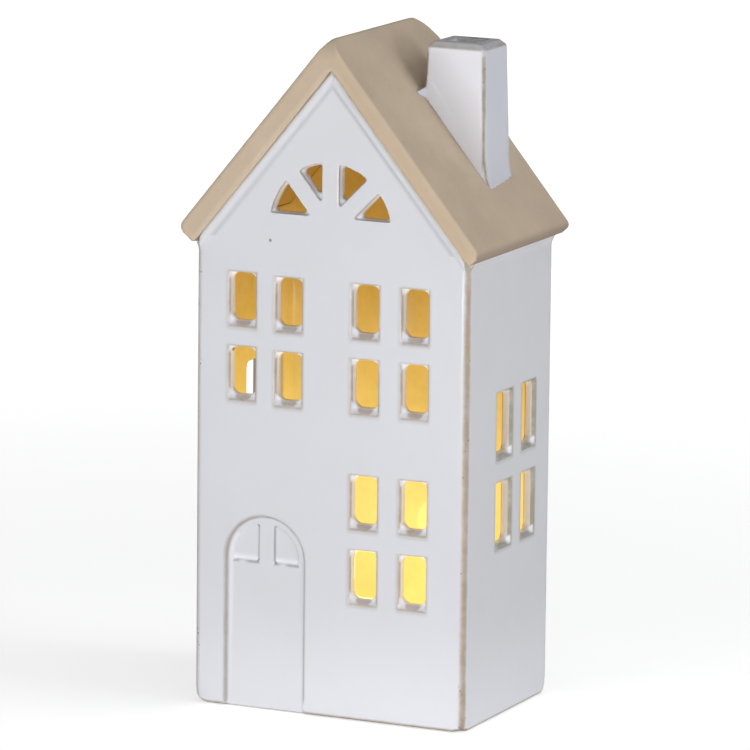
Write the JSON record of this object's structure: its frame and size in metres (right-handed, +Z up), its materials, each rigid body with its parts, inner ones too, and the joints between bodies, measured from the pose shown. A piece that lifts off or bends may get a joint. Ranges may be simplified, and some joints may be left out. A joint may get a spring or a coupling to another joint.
{
  "type": "ceramic christmas village house",
  "caption": "Tall narrow ceramic village house with open windows, a bisque gabled roof, a chimney, and a plug-in battery light that glows through the openings.",
  "frame": {"origin": "centre of the foot, on the surface that the house stands on", "axes": "+Z up, -Y out of the front wall with the door, +X to the right as seen from the front"},
  "size_m": [0.1102, 0.0778, 0.2324],
  "materials": {
    "glazed_clay": "gloss",
    "bisque": "matte",
    "soft_ring": "matte",
    "white_plastic": "satin",
    "frosted_plastic": "frosted",
    "diode_resin": "gloss",
    "tinned_wire": "satin",
    "board": "satin",
    "resistor_body": "gloss",
    "screw_steel": "satin",
    "switch_shell": "satin",
    "pin_brass": "satin",
    "dark_plastic": "matte",
    "spring_steel": "satin",
    "cell_can": "satin"
  },
  "bodies": {
    "house": {"house_walls": "glazed_clay", "roof": "bisque", "chimney": "glazed_clay", "base_plate": "bisque", "grommet": "soft_ring"},
    "lamp": {"lamp_housing": "white_plastic", "lamp_lens": "frosted_plastic", "led": "diode_resin", "board_leads": "tinned_wire", "circuit_board": "board", "resistor": "resistor_body", "board_screws": "screw_steel", "switch_body": "switch_shell", "switch_pins": "pin_brass", "negative_contact": "spring_steel", "positive_contact": "spring_steel", "upper_cell": "cell_can", "lower_cell": "cell_can"},
    "knob": {"switch_knob": "dark_plastic"},
    "cover": {"battery_cover": "white_plastic"}
  },
  "joints": [
    {"name": "lamp_pull", "type": "slide", "parent": "house", "child": "lamp", "axis": [0, 0, -1], "range_m": [0, 0.04]},
    {"name": "switch_slide", "type": "slide", "parent": "lamp", "child": "knob", "axis": [0, -1, 0], "range_m": [0, 0.0024]},
    {"name": "cover_turn", "type": "hinge", "parent": "lamp", "child": "cover", "pos_m": [0, 0, 0.002], "axis": [0, 0, 1], "range_deg": [0, 30]}
  ]
}
